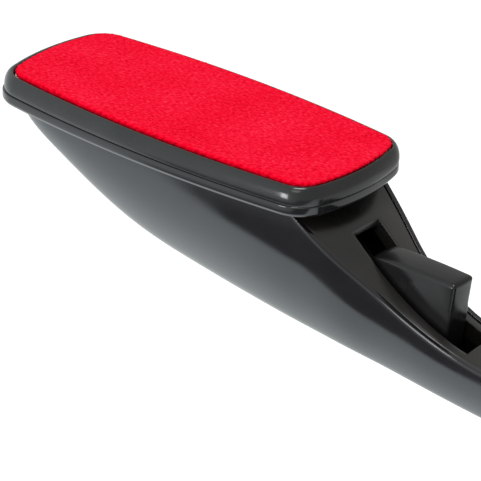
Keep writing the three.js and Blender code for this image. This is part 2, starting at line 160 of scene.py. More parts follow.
VIEW_AZIMUTH, VIEW_ELEVATION, VIEW_ROLL = math.radians(39.3), math.radians(27.2), math.radians(2.0)
VIEW_DISTANCE = 822.9
AIM_RIGHT, AIM_UP = 11.8, -38.64  # the aim, seen from the camera, measured from the pad's centre
LENS, SENSOR = 217.4, 36.0


def view_axes():
    """The camera's right, up and back directions."""
    a, e = VIEW_AZIMUTH, VIEW_ELEVATION
    back = Vector((math.sin(a) * math.cos(e), -math.cos(a) * math.cos(e), math.sin(e)))
    right = Vector((math.cos(a), math.sin(a), 0))
    up = back.cross(right)
    c, s = math.cos(VIEW_ROLL), math.sin(VIEW_ROLL)
    return c * right + s * up, c * up - s * right, back


def make_camera():
    """The camera that sees what the photo shows."""
    right, up, back = view_axes()
    camera = bpy.data.objects.new("camera", bpy.data.cameras.new("camera"))
    bpy.context.scene.collection.objects.link(camera)
    camera.data.lens, camera.data.sensor_width = LENS, SENSOR
    camera.data.clip_start, camera.data.clip_end = 0.01, 50
    place = (AIM_RIGHT * right + AIM_UP * up + VIEW_DISTANCE * back) * MM
    camera.matrix_world = Matrix.Translation(place) @ Matrix((right, up, back)).transposed().to_4x4()
    bpy.context.scene.camera = camera


make_camera()

# ---------------------------------------------------------------- mesh helpers

WELD_REACH = 0.002
THROUGH = 5.0  # how far a cutter goes past the faces it opens
BITE = 0.5  # how far a joined body reaches into the one it is joined to


def make_object(name, points, faces, material=None, sharp=35):
    """A mesh object from points in mm, smooth but for edges sharper than the given angle."""
    mesh = bpy.data.meshes.new(name)
    mesh.from_pydata([tuple(p) for p in np.asarray(points) * MM], [], faces)
    body = bpy.data.objects.new(name, mesh)
    bpy.context.scene.collection.objects.link(body)
    clean(body, sharp)
    if material:
        mesh.materials.append(material)
    return body


def clean(body, sharp=35):
    """Joins points that coincide, turns the faces outwards and shades all but the sharper edges smooth."""
    work = bmesh.new()
    work.from_mesh(body.data)
    bmesh.ops.remove_doubles(work, verts=work.verts, dist=WELD_REACH * MM)
    bmesh.ops.dissolve_degenerate(work, edges=work.edges, dist=WELD_REACH * MM / 2)
    bmesh.ops.recalc_face_normals(work, faces=work.faces)
    work.to_mesh(body.data)
    work.free()
    body.data.shade_smooth()
    body.data.set_sharp_from_angle(angle=math.radians(sharp))


def skin(rings, loop=False, capped=True):
    """Points and faces of a surface through equal closed rings. Its ends are capped, or joined in a loop."""
    rings = np.asarray(rings)
    rows, count = rings.shape[:2]
    faces = []
    for i in range(rows if loop else rows - 1):
        here, there = i * count, (i + 1) % rows * count
        for j in range(count):
            k = (j + 1) % count
            faces.append((here + j, here + k, there + k, there + j))
    if capped and not loop:
        faces.append(tuple(range(count - 1, -1, -1)))
        faces.append(tuple(range((rows - 1) * count, rows * count)))
    return rings.reshape(-1, 3), faces


def turned(profile, x=0, y=0, sides=48):
    """A body turned about a vertical axis from [radius, z] points, with its two ends capped."""
    angles = np.linspace(0, 2 * math.pi, sides, endpoint=False)
    rings = [[(x + r * math.cos(a), y + r * math.sin(a), z) for a in angles] for r, z in profile]
    return skin(rings)


def rounded(corners, steps=5):
    """An open outline from [a, b, radius] corners, each with a radius rounded off by an arc-like curve."""
    points = []
    for i, (a, b, radius) in enumerate(corners):
        here = np.array([a, b], float)
        if radius <= 0:
            points.append(here)
            continue
        to_last = np.array(corners[i - 1][:2], float) - here
        to_next = np.array(corners[i + 1][:2], float) - here
        start = here + to_last / np.linalg.norm(to_last) * radius
        end = here + to_next / np.linalg.norm(to_next) * radius
        for t in np.linspace(0, 1, steps + 1):
            points.append((1 - t) ** 2 * start + 2 * t * (1 - t) * here + t ** 2 * end)
    return np.array(points)


def combine(body, points_faces, operation):
    """Cuts a closed mesh out of body, or joins it on."""
    tool = make_object("tool", *points_faces)
    modifier = body.modifiers.new("combine", "BOOLEAN")
    modifier.operation, modifier.object, modifier.solver = operation, tool, "EXACT"
    graph = bpy.context.evaluated_depsgraph_get()
    result = bpy.data.meshes.new_from_object(body.evaluated_get(graph))
    body.modifiers.clear()
    body.data = result
    bpy.data.objects.remove(tool)


def block(low, high):
    """Points and faces of a box."""
    (x0, y0, z0), (x1, y1, z1) = low, high
    return skin([[(x, y0, z0), (x, y1, z0), (x, y1, z1), (x, y0, z1)] for x in (x0, x1)])


def rod(radius, bottom, top, x=0, y=0, sides=32):
    """Points and faces of an upright cylinder."""
    return turned([(radius, bottom), (radius, top)], x, y, sides)


def together(parts):
    """Points and faces of several bodies as one."""
    points, faces = [], []
    for more_points, more_faces in parts:
        faces += [tuple(len(points) + i for i in face) for face in more_faces]
        points += [tuple(p) for p in more_points]
    return points, faces


def on_pin_axis(points_faces):
    """Turns a body made about the vertical axis so that it lies along the lever's pin."""
    points, faces = points_faces
    x, y, z = np.asarray(points).T
    return np.column_stack([x + PIVOT_X, -z, y + PIVOT_Z]), faces


# ---------------------------------------------------------------- outlines and lines


def head_outline(offset, fine=1.0):
    """The pad's outline, a rounded rectangle with swelling sides and ends, grown by offset."""
    half_length, half_width = PAD_LENGTH / 2 - PAD_CORNER, PAD_WIDTH / 2 - PAD_CORNER
    side_radius = (half_length ** 2 + SIDE_BOW ** 2) / (2 * SIDE_BOW)
    end_radius = (half_width ** 2 + END_BOW ** 2) / (2 * END_BOW)
    side_angle, end_angle = math.asin(half_length / side_radius), math.asin(half_width / end_radius)
    to_side = math.pi / 2 - side_angle
    radius = PAD_CORNER + offset
    arcs = [
        (half_length + END_BOW - end_radius, 0, end_radius + radius, -end_angle, end_angle, 20),
        (half_length, half_width, radius, end_angle, to_side, 18),
        (0, half_width + SIDE_BOW - side_radius, side_radius + radius, to_side, math.pi - to_side, 50),
        (-half_length, half_width, radius, math.pi - to_side, math.pi - end_angle, 18),
    ]
    half = []
    for x, y, r, start, end, steps in arcs:
        for angle in np.linspace(start, end, int(steps * fine), endpoint=False):
            half.append((x + r * math.cos(angle), y + r * math.sin(angle)))
    half = np.array(half)
    return np.vstack([half, -half])


def head_body(profile):
    """A body whose edge follows the head's outline, from [offset, z] points."""
    rings = []
    for offset, z in profile:
        outline = head_outline(offset)
        rings.append(np.column_stack([outline, np.full(len(outline), z)]))
    return skin(rings)


def spline(points):
    """A smooth line through points, as a function of x, straight on beyond its ends."""
    x, y = np.array(points, float).T
    steps = np.diff(x)
    matrix, right = np.eye(len(x)), np.zeros(len(x))
    for i in range(1, len(x) - 1):
        matrix[i, i - 1:i + 2] = steps[i - 1], 2 * (steps[i - 1] + steps[i]), steps[i]
        right[i] = 6 * ((y[i + 1] - y[i]) / steps[i] - (y[i] - y[i - 1]) / steps[i - 1])
    bend = np.linalg.solve(matrix, right)

    def line(at):
        i = int(np.clip(np.searchsorted(x, at) - 1, 0, len(steps) - 1))
        h = steps[i]
        a, b = (x[i + 1] - at) / h, (at - x[i]) / h
        curved = ((a ** 3 - a) * bend[i] + (b ** 3 - b) * bend[i + 1]) * h * h / 6
        return a * y[i] + b * y[i + 1] + (curved if 0 <= a <= 1 else 0)

    return line


# The hull from the side and its half-width from above, along x.
keel_line = spline([
    (-60, -14.5), (-49, -21.5), (-38, -29), (-26, -36.4), (-12, -42.4), (8, -46.8), (40, -51.7),
    (70, -55.7), (100, -58.8), (130, -60), (156, -59.8), (172, -57.5), (182, -51),
])
side_line = spline([
    (-60, 20), (-20, 21.2), (20, 21.5), (46, 20.2), (56, 18.6), (64, 16.4), (72, 13.6), (86, 11.3),
    (100, 10.5), (125, 11), (150, 12), (182, 12),
])


def neck_table():
    """x and z of the top line along the neck, which follows one Bezier curve."""
    t = np.linspace(0, 1, 400)
    x = [NECK_START, NECK_START + NECK_REACH, NECK_END - NECK_REACH, NECK_END]
    z = [HULL_TOP, HULL_TOP + NECK_SLOPE * NECK_REACH, HANDLE_TOP, HANDLE_TOP]
    weights = [(1 - t) ** 3, 3 * t * (1 - t) ** 2, 3 * t ** 2 * (1 - t), t ** 3]
    return sum(w * v for w, v in zip(weights, x)), sum(w * v for w, v in zip(weights, z))


NECK_X, NECK_Z = neck_table()


def top_line(x):
    """Height of the hull's edge."""
    return float(np.interp(x, NECK_X, NECK_Z))


def superround(share, power):
    """0 to 1 along a quarter of a superellipse, as share goes from 0 to 1."""
    share = np.clip(share, 0, 1)
    return (1 - (1 - share) ** power) ** (1 / power)


# Cross-sections of the hull. Each is ("bow", angle), ("mid", x) or ("tail", angle); the angle goes from 0
# at the tip to a quarter turn where the end has reached its full width.
BOW_POWER, TAIL_POWER = 3.0, 2.3
bow_angles = [math.pi / 2 * (k / 26) ** 1.7 for k in range(26)]
tail_angles = [math.pi / 2 * (k / 22) ** 1.5 for k in range(22)]
BOW_END, TAIL_START = HULL_FRONT + WALL + BOW_REACH, HULL_BACK - WALL - TAIL_REACH
slot_rounding = [0, 0.04, 0.12, 0.3]
mid_stations = sorted(set(
    [round(float(x), 3) for x in np.linspace(BOW_END, NECK_START, 40)]
    + [round(float(x), 3) for x in np.linspace(NECK_START + 0.8, NECK_END, 52)]
    + [round(float(x), 3) for x in np.linspace(NECK_END + 2, TAIL_START, 22)]
    + [SLOT_FRONT - s for s in slot_rounding] + [SLOT_BACK + s for s in slot_rounding]
    + [SLOT_FRONT - SLOT_WALL, SLOT_BACK + SLOT_WALL]
))
STATIONS = (
    [("bow", a) for a in bow_angles] + [("mid", x) for x in mid_stations]
    + [("tail", a) for a in reversed(tail_angles)]
)


def plan(station, inset):
    """x and half-width of the hull's plan outline at a cross-section, inset from the outer skin."""
    kind, value = station
    if kind == "mid":
        return value, side_line(value) - inset
    power = BOW_POWER if kind == "bow" else TAIL_POWER
    back = 1 - math.cos(value) ** (2 / power)
    out = math.sin(value) ** (2 / power)
    if kind == "bow":
        x = HULL_FRONT + inset + (BOW_END - HULL_FRONT - inset) * back
    else:
        x = HULL_BACK - inset - (HULL_BACK - inset - TAIL_START) * back
    return x, (side_line(x) - inset) * out


def hull_depth(x, inset):
    """Depth of the hull below its top line, less towards the two tips."""
    slope = (keel_line(x + 1) - keel_line(x - 1)) / 2
    depth = top_line(x) - keel_line(x) - inset * math.hypot(1, slope)
    bow = superround((x - HULL_FRONT - inset) / BOW_RISE, 2.4)
    tail = superround((HULL_BACK - inset - x) / TAIL_RISE, 2.2)
    return depth * (0.3 + 0.7 * min(bow, tail))


def shoulder_line(x):
    """Smooth line over the start of the neck, where the hull's sides keep their shape under a lower top."""
    if not SHOULDER_START < x < SHOULDER_END:
        return top_line(x)
    length = SHOULDER_END - SHOULDER_START
    t = (x - SHOULDER_START) / length
    end = top_line(SHOULDER_END)
    slope = (top_line(SHOULDER_END + 0.5) - top_line(SHOULDER_END - 0.5)) * length
    return HULL_TOP * (1 - t * t * (3 - 2 * t)) + end * t * t * (3 - 2 * t) + slope * t * t * (t - 1)


def u_section(station, inset, steps, start):
    """Points down one side of the hull, under the keel and up the other side.

    They begin a little below the top, where a section as deep as the hull would be at angle start.
    """
    x, width = plan(station, inset)
    top, depth = top_line(x), hull_depth(x, inset)
    above = max(0.0, shoulder_line(x) - top)
    whole = depth + above
    width /= (1 - (above / whole) ** SQUARENESS) ** (1 / SQUARENESS)
    first = above + depth * math.sin(start) ** (2 / SQUARENESS)
    start = math.asin((first / whole) ** (SQUARENESS / 2))
    points = []
    for angle in np.linspace(start, math.pi - start, steps):
        across = abs(math.cos(angle)) ** (2 / SQUARENESS) * np.sign(math.cos(angle))
        down = math.sin(angle) ** (2 / SQUARENESS)
        points.append((x, -width * across, top + above - whole * down))
    return points


def edge_points(station, profile, side):
    """Points of a profile of [inset, drop] pairs at one edge of the hull's top."""
    points = []
    for inset, drop in profile:
        x, width = plan(station, inset)
        points.append((x, side * width, top_line(x) - drop))
    return points


def crown(x, y):
    """How far the cover's face rises above its edge."""
    side = side_line(x) - LIP - GAP
    share = min(1.0, max(0.0, (x - CROWN_START) / (CROWN_FULL - CROWN_START)))
    return max(0.0, (side ** 2 - y ** 2) / (2 * COVER_ROUND)) * share * share * (3 - 2 * share)


# ---------------------------------------------------------------- materials


class Nodes:
    """Short calls for the node tree of a new material."""

    def __init__(self, name):
        self.material = bpy.data.materials.new(name)
        self.material.use_nodes = True
        self.tree = self.material.node_tree
        self.shader = self.tree.nodes["Principled BSDF"]
        self.place = self.add("ShaderNodeTexCoord").outputs["Object"]

    def add(self, kind, **settings):
        node = self.tree.nodes.new(kind)
        for key, value in settings.items():
            setattr(node, key, value)
        return node

    def link(self, source, target):
        self.tree.links.new(source, target)

    def set(self, **values):
        for key, value in values.items():
            self.shader.inputs[key.replace("_", " ")].default_value = value

    def noise(self, scale, detail, stretch=None):
        """Noise output, with scale in lumps per metre."""
        node = self.add("ShaderNodeTexNoise")
        node.inputs["Scale"].default_value = scale
        node.inputs["Detail"].default_value = detail
        place = self.place
        if stretch:
            mapping = self.add("ShaderNodeMapping")
            mapping.inputs["Scale"].default_value = stretch
            self.link(place, mapping.inputs["Vector"])
            place = mapping.outputs["Vector"]
        self.link(place, node.inputs["Vector"])
        return node.outputs["Fac"]

    def spread(self, source, low, high):
        """Stretches a noise, most of which lies between 0.3 and 0.7, to run from low to high."""
        node = self.add("ShaderNodeMapRange")
        for key, value in zip(("From Min", "From Max", "To Min", "To Max"), (0.3, 0.7, low, high)):
            node.inputs[key].default_value = value
        self.link(source, node.inputs["Value"])
        return node.outputs["Result"]

    def ramp(self, source, stops):
        """Colour from a value, through [position, colour] stops."""
        node = self.add("ShaderNodeValToRGB")
        elements = node.color_ramp.elements
        while len(elements) < len(stops):
            elements.new(0.5)
        for element, (position, colour) in zip(elements, stops):
            element.position, element.color = position, (*colour, 1)
        self.link(source, node.inputs["Fac"])
        return node.outputs["Color"]

    def bump(self, source, strength, distance, onto=None):
        """Relief from a value, its distance in mm, on top of another relief."""
        node = self.add("ShaderNodeBump")
        node.inputs["Strength"].default_value = strength
        node.inputs["Distance"].default_value = distance * MM
        self.link(source, node.inputs["Height"])
        if onto:
            self.link(onto, node.inputs["Normal"])
        return node.outputs["Normal"]


def plastic(name, dark, light, rough_low, rough_high, grain=0.02, shine=0.5):
    """Moulded black plastic: faint flow marks in colour, handling smears in gloss, fine skin in relief."""
    n = Nodes(name)
    n.link(n.ramp(n.noise(45, 4), [(0.35, dark), (0.7, light)]), n.shader.inputs["Base Color"])
    smears = n.noise(70, 5, stretch=(1, 1, 2.2))
    n.link(n.spread(smears, rough_low, rough_high), n.shader.inputs["Roughness"])
    ripple = n.bump(n.noise(60, 1), 0.12, 0.05)
    n.link(n.bump(n.noise(2600, 2), 0.25, grain, onto=ripple), n.shader.inputs["Normal"])
    n.set(IOR=1.5, Specular_IOR_Level=shine)
    return n.material


def metal(name, colour, rough):
    """Zinc-plated steel with a faint blotch in its gloss."""
    n = Nodes(name)
    lighter = tuple(min(1, c * 1.15) for c in colour)
    n.link(n.ramp(n.noise(900, 4), [(0.3, colour), (0.7, lighter)]), n.shader.inputs["Base Color"])
    n.link(n.spread(n.noise(1500, 3), rough - 0.07, rough + 0.1), n.shader.inputs["Roughness"])
    n.set(Metallic=1.0)
    return n.material


def velvet(name):
    """Red nap, with painted shade at the fibres' feet, on the cut edge and between the tufts, painted
    highlight at their tips, and a soft sheen.
    """
    n = Nodes(name)
    height = n.add("ShaderNodeAttribute", attribute_name="nap_height_and_shade").outputs["Fac"]
    streaks = n.noise(1500, 2, stretch=(0.55, 1.2, 1))
    blend = n.add("ShaderNodeMix", data_type="FLOAT")
    blend.inputs["Factor"].default_value = 0.5
    n.link(height, blend.inputs["A"])
    n.link(streaks, blend.inputs["B"])
    # from painted shade at the lowest heights, through the nap's own red, to a pinkish painted highlight at
    # the highest
    stops = [
        (0.0, (0.07, 0.0, 0.002)), (0.2, (0.30, 0.0, 0.006)), (0.36, (0.57, 0.0006, 0.012)),
        (0.48, (0.65, 0.003, 0.021)), (0.6, (0.69, 0.012, 0.037)), (0.8, (0.75, 0.04, 0.075)),
    ]
    n.link(n.ramp(blend.outputs["Result"], stops), n.shader.inputs["Base Color"])
    n.link(n.spread(n.noise(300, 2), 0.75, 0.95), n.shader.inputs["Roughness"])
    n.link(n.bump(n.noise(3800, 3, stretch=(0.4, 1.2, 1)), 0.6, 0.12), n.shader.inputs["Normal"])
    n.set(Sheen_Weight=0.3, Sheen_Roughness=0.5, Sheen_Tint=(1.0, 0.04, 0.07, 1))
    n.set(Specular_IOR_Level=0.0)
    return n.material


def foam(name):
    """Pale foam, pitted all over."""
    n = Nodes(name)
    stops = [(0.3, (0.6, 0.57, 0.48)), (0.7, (0.8, 0.78, 0.7))]
    n.link(n.ramp(n.noise(3000, 2), stops), n.shader.inputs["Base Color"])
    n.link(n.bump(n.noise(4000, 1), 0.6, 0.15), n.shader.inputs["Normal"])
    n.set(Roughness=0.9)
    return n.material


GLOSS = plastic("gloss_black", (0.004, 0.004, 0.005), (0.007, 0.007, 0.008), 0.06, 0.12)
RIM = plastic("rim_black", (0.006, 0.007, 0.007), (0.011, 0.012, 0.012), 0.13, 0.19, shine=0.4)
SATIN = plastic("satin_black", (0.006, 0.006, 0.005), (0.011, 0.010, 0.009), 0.22, 0.32, grain=0.03)
LEVER = plastic("lever_black", (0.004, 0.004, 0.004), (0.007, 0.007, 0.007), 0.16, 0.24, shine=0.32)
STEEL = metal("zinc_steel", (0.55, 0.56, 0.57), 0.3)
VELVET = velvet("red_velvet")
FOAM = foam("pale_foam")


def finish_piece(body, on, slot, *nodes):
    """A made piece rides on its CAD body and stands for its CAD nodes."""
    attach(body, on)
    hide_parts(*nodes)


# ---------------------------------------------------------------- hull


def make_hull():
    """One hollow boat-shaped shell with a round-edged lip, a ledge for deck and cover, and posts."""
    lip = rounded([
        (0, 1.4, 0), (0, 0, 0.4), (LIP, 0, 0.2),
        (LIP, LEDGE, 0.15), (WALL, LEDGE, 0.2), (WALL, LEDGE + 1.5, 0),
    ])
    rings = []
    for station in STATIONS:
        outer = u_section(station, 0, steps=61, start=0.11)
        inner = u_section(station, WALL, steps=31, start=0.25)
        left, right = edge_points(station, lip[::-1], -1), edge_points(station, lip, 1)
        rings.append(left + outer + right + inner[::-1])
    hull = make_object("hull", *skin(rings, capped=False), GLOSS, sharp=40)
    posts, holes = [post(SPRING_POST, SPRING_SEAT, PLUNGER_X, 0)], []
    for screw in map(screw_place, DECK_SCREWS):
        posts.append(post(DECK_POST, HULL_TOP - LEDGE, screw.x, screw.y))
        holes.append(rod(SHANK_BORE, screw.bottom - GAP, screw.top, screw.x, screw.y, 16))
    for screw in map(screw_place, COVER_SCREWS):
        posts.append(post(COVER_POST, POST_MEET - GAP, screw.x, screw.y))
        recess = screw.bottom + SCREW_HEAD + GAP
        holes.append(rod(screw.radius + GAP, screw.bottom - THROUGH, recess, screw.x, screw.y))
        holes.append(rod(SHANK_BORE, screw.bottom + SCREW_HEAD, screw.top, screw.x, screw.y, 16))
    combine(hull, together(posts), "UNION")
    combine(hull, rod(PIP_RADIUS, SPRING_SEAT - BITE, SPRING_SEAT + PIP_HEIGHT, PLUNGER_X), "UNION")
    combine(hull, together(holes), "DIFFERENCE")
    clean(hull, 40)
    finish_piece(hull, "handle", "gloss_black", "body_shell")


def wall_height(x, y):
    """Height of the middle of the hull's wall at a place inside it."""
    width, depth = side_line(x) - WALL / 2, hull_depth(x, WALL / 2)
    return top_line(x) - depth * (1 - min(1, abs(y) / width) ** SQUARENESS) ** (1 / SQUARENESS)


def post(radius, top, x, y):
    """Round post whose foot follows the hull's wall."""
    rings = []
    for share in (0.1, 0.55, 1):
        spots = [
            (x + radius * share * math.cos(a), y + radius * share * math.sin(a))
            for a in np.linspace(0, 2 * math.pi, 32, endpoint=False)
        ]
        rings.append([(px, py, wall_height(px, py)) for px, py in spots])
    rings.append([(px, py, top) for px, py in spots])
    return skin(rings)


make_hull()

# ---------------------------------------------------------------- cover


def make_cover():
    """Inset cover with a round-edged slot whose side and back walls hang down inside."""
    inset = LIP + 0.14
    edge = 0.3  # radius of its rounded edges
    hang = 5.3  # depth of the slot's walls
    flat_from = 1.2  # distance from the cover's edge at which its round is over
    stations = [s for s in STATIONS if s[0] == "tail" or (s[0] == "mid" and s[1] > NECK_START + 0.2)]
    outer_insets = [inset, inset + 0.04, inset + 0.12, inset + edge, inset + flat_from]
    band = SLOT_HALF_WIDTH + SLOT_WALL
    inner_lines = [0, 1.5, 3, 4.5, SLOT_HALF_WIDTH]
    inner_lines += [SLOT_HALF_WIDTH + s for s in slot_rounding[1:]] + [band]
    between = [0.2, 0.4, 0.6, 0.8]
    half_lines = len(inner_lines) + len(between) + len(outer_insets)

    def line_points(station):
        """Half the cover's points across at a cross-section, from the middle out, as (x, y)."""
        x_in, room = plan(station, inset + flat_from)
        shrink = min(1.0, room / (band + 1))
        lines = [y * shrink for y in inner_lines]
        lines += [band * shrink + (room - band * shrink) * share for share in between]
        points = [(x_in, y) for y in lines]
        points += [plan(station, d) for d in reversed(outer_insets)]
        return points

    def drop(x, y, depth_in):
        """How far the rounded edges lie below the cover's face."""
        aside = max(0, y - SLOT_HALF_WIDTH)
        along = max(0, SLOT_FRONT - x, x - SLOT_BACK)
        near = min(depth_in, math.hypot(aside, along))
        return edge - math.sqrt(edge ** 2 - (edge - near) ** 2) if near < edge else 0

    rows = []
    for station in stations:
        half = []
        for index, (x, y) in enumerate(line_points(station)):
            from_end = half_lines - 1 - index
            depth_in = outer_insets[from_end] - inset if from_end < len(outer_insets) else 9
            half.append((x, y, drop(x, y, depth_in)))
        rows.append([(x, -y, d) for x, y, d in reversed(half[1:])] + half)

    middle = half_lines - 1

    def depth_of(i, j):
        """Thickness of the cell between rows i, i+1 and lines j, j+1; 0 where the slot is."""
        x = (rows[i][middle][0] + rows[i + 1][middle][0]) / 2
        y = abs(rows[i][j][1] + rows[i][j + 1][1]) / 2
        if SLOT_FRONT < x < SLOT_BACK and y < SLOT_HALF_WIDTH:
            return 0
        beside = SLOT_HALF_WIDTH < y < band and SLOT_FRONT - SLOT_WALL < x < SLOT_BACK + SLOT_WALL
        behind = y < band and SLOT_BACK < x < SLOT_BACK + SLOT_WALL
        return hang if beside or behind else PLATE

    points, faces = slab(rows, depth_of)
    cover = make_object("neck_cover", points, faces, SATIN, sharp=38)
    for screw in map(screw_place, COVER_SCREWS):
        under = top_line(screw.x) - COVER_SINK - PLATE + crown(screw.x, screw.y)
        combine(cover, rod(HANGING_POST, POST_MEET, under + BITE, screw.x, screw.y), "UNION")
        combine(cover, rod(SHANK_BORE, screw.bottom, screw.top + GAP, screw.x, screw.y, 16), "DIFFERENCE")
    clean(cover, 38)
    finish_piece(cover, "handle", "satin_black", "handle_cover")


def slab(rows, depth_of):
    """A closed plate on a grid of (x, y, drop) points under the top line, each cell with its own depth."""
    index, points, faces = {}, [], []

    def corner(i, j, level):
        """Index of the point at row i and line j, on the face or at a depth below it."""
        x, y, drop = rows[i][j]
        z = top_line(x) - COVER_SINK + crown(x, y) - (drop if level == 0 else level)
        key = (i, j, level)
        if key not in index:
            index[key] = len(points)
            points.append((x, y, z))
        return index[key]

    last_row, last_line = len(rows) - 1, len(rows[0]) - 1
    depth = {(i, j): depth_of(i, j) for i in range(last_row) for j in range(last_line)}
    for (i, j), deep in depth.items():
        if not deep:
            continue
        square = [(i, j), (i + 1, j), (i + 1, j + 1), (i, j + 1)]
        faces.append(tuple(corner(a, b, 0) for a, b in square))
        faces.append(tuple(corner(a, b, deep) for a, b in reversed(square)))
        across = [(i, j - 1), (i + 1, j), (i, j + 1), (i - 1, j)]
        for side, neighbour in enumerate(across):
            other = depth.get(neighbour, 0)
            if deep > other:
                (a, b), (c, d) = square[side], square[(side + 1) % 4]
                upper = (corner(a, b, other), corner(c, d, other))
                faces.append((*upper, corner(c, d, deep), corner(a, b, deep)))
    return points, faces


make_cover()

# ---------------------------------------------------------------- head


def make_bezel():
    """Bull-nosed rim: a low crest beside the pad that rolls over to a side flush with the flange below."""
    top, bottom = bezel_high[2], bezel_low[2] - SEAM
    inner, out = 0.4, BEZEL_OUT + 0.25  # offsets of its two sides from the pad's outline
    crest, tall = inner + 0.6, 4.0  # where the roll begins, and its height
    fixed = 1.5  # width of the inner part that takes up the shift
    profile = [(inner, bottom + 0.2), (inner + 0.2, bottom)]
    profile += [(out - 0.16, bottom), (out - 0.08, bottom + 0.06)]
    for angle in np.linspace(-0.2, math.pi / 2, 28):
        profile.append((crest + (out - crest) * math.cos(angle), top - tall + tall * math.sin(angle)))
    profile += [(inner + 0.3, top - 0.08), (inner + 0.08, top - 0.3), (inner, top - 0.8)]
    rings = []
    for offset, z in profile:
        x, y = head_outline(offset).T
        shift = BEZEL_SHIFT * min(1, (offset - inner) / fixed)
        rings.append(np.column_stack([x + shift, y, np.full(len(x), z)]))
    bezel = make_object("bezel", *skin(rings, loop=True), RIM, sharp=50)
    finish_piece(bezel, "head", "gloss_black", "head_frame")


def make_base():
    """Lower flange of the head, with its hub, the two lock holes and the recessed screw places."""
    top, bottom, out = base_high[2] + SEAM, FLANGE_BOTTOM, FLANGE_OUT
    middle = -2  # an offset well inside the edge
    slant_in, slant_up = 0.6, 0.86  # of the bevel round the bottom
    points, faces = head_body(rounded([
        (middle, bottom, 0), (out - slant_in, bottom, 0.15), (out, bottom + slant_up, 0.25),
        (out, top, 0.4), (middle, top, 0),
    ]))
    base = make_object("head_flange", points + np.array([FLANGE_SHIFT, 0, 0]), faces, GLOSS, sharp=40)
    combine(base, rod(HUB_RADIUS, HUB_BOTTOM, bottom + BITE, sides=64), "UNION")
    below, above = bottom - THROUGH, top + THROUGH
    for x in (-PLUNGER_X, PLUNGER_X):
        combine(base, rod(LOCK_HOLE, below, above, x), "DIFFERENCE")
    for screw in map(screw_place, HEAD_SCREWS):
        recess = screw.bottom + RECESS
        combine(base, rod(screw.radius + GAP, below, recess, screw.x, screw.y), "DIFFERENCE")
        combine(base, rod(HEAD_SCREW_BORE, below, above, screw.x, screw.y, 16), "DIFFERENCE")
    bore_end = HUB_BOTTOM + SWIVEL_BORE_DEPTH
    combine(base, rod(SWIVEL_BORE, HUB_BOTTOM - THROUGH, bore_end, sides=24), "DIFFERENCE")
    clean(base, 40)
    finish_piece(base, "head", "gloss_black", "head_base")


make_bezel()
make_base()

# ---------------------------------------------------------------- velvet pad

NAP_LEAN = 1.0  # how far the tips lean towards the far side
NAP_SPREAD = 0.006  # and stand out over the two ends, as a share of the distance from the middle
NAP_GRID = 0.4  # voxel of the nap's mesh
NAP_PITCH = 2.4  # distance between the notches in the cut edge
NAP_RELIEF, NAP_SWAY = 0.34, 0.12  # how far the tufts rise, and lean along the pad


def make_velvet():
    """Slab of nap with a serrated cut edge, its face raised and sunk in short tufts leaning one way."""
    low, high = pad_low[2], pad_high[2]
    rim = head_outline(0, 3)
    along = np.cumsum(np.linalg.norm(np.diff(rim, axis=0, append=rim[:1]), axis=1))
    wave = 2 * np.abs(along / NAP_PITCH % 1 - 0.5)
    before, after = np.roll(rim, 1, 0), np.roll(rim, -1, 0)
    outward = np.column_stack([after[:, 1] - before[:, 1], before[:, 0] - after[:, 0]])
    outward /= np.linalg.norm(outward, axis=1)[:, None]
    wander = np.array([noise.noise(Vector((x * 0.5, y * 0.5, 3))) for x, y in rim])
    # [inset, height, depth of the notches, share of the lean] from the foot to the face
    levels = [
        (0.3, low, 0, 0), (0.1, low + 0.3, 0.2, 0), (-0.3, high - 0.55, 1, 0.25),
        (-0.25, high - 0.2, 1, 0.8), (0.4, high - 0.02, 0.5, 1),
    ]
    rings = []
    for inset, z, cut, lean in levels:
        shift = -inset - cut * (0.8 * (1 - wave) ** 2 + 0.15 * wander)
        ring = rim + outward * shift[:, None]
        spread = ring[:, 0] * (1 + NAP_SPREAD * lean)
        rings.append(np.column_stack([spread, ring[:, 1] + NAP_LEAN * lean, np.full(len(ring), z)]))
    pad = make_object("velvet", *skin(rings), VELVET)
    remesh = pad.modifiers.new("remesh", "REMESH")
    remesh.mode, remesh.voxel_size = "VOXEL", NAP_GRID * MM
    graph = bpy.context.evaluated_depsgraph_get()
    pad.data = bpy.data.meshes.new_from_object(pad.evaluated_get(graph))
    pad.modifiers.clear()
    raise_nap(pad, low, high)
    pad.data.shade_smooth()
    pad.data.materials.clear()
    pad.data.materials.append(VELVET)
    finish_piece(pad, "head", "red_velvet", "velvet_pad")


def raise_nap(pad, low, high):
    """Displaces the pad's face and edge by tuft-sized noise, and keeps the height, from which the colour
    paints shade low down and highlight high up.
    """
    mesh = pad.data
    count = len(mesh.vertices)
    places = np.zeros(count * 3)
    mesh.vertices.foreach_get("co", places)
    places = places.reshape(-1, 3) / MM
    heights = np.zeros(count, np.float32)
    for i, (x, y) in enumerate(places[:, :2]):
        tufts = noise.noise(Vector((x * 0.9 + y * 0.25, y * 1.7, 0)))
        fibres = noise.noise(Vector((x * 2.1, y * 3.2, 5)))
        waves = noise.noise(Vector((x * 0.06, y * 0.09, 9)))
        heights[i] = 0.5 + 0.45 * tufts + 0.4 * fibres + 0.12 * waves
    raised = np.clip((places[:, 2] - low - 0.5) / (high - low - 0.7), 0, 1)
    on_face = np.clip((places[:, 2] - high + 0.36) / 0.34, 0, 1)
    # below the face the height falls to near 0, which sinks the cut edge and paints shade on it
    heights *= 0.05 + 0.95 * on_face
    places[:, 2] += raised * (NAP_RELIEF * (heights - 0.8))
    places[:, 0] += raised * NAP_SWAY * (heights - 0.5)
    mesh.vertices.foreach_set("co", (places * MM).ravel())
    mesh.attributes.new("nap_height_and_shade", "FLOAT", "POINT").data.foreach_set("value", heights)


make_velvet()

# ---------------------------------------------------------------- deck under the head


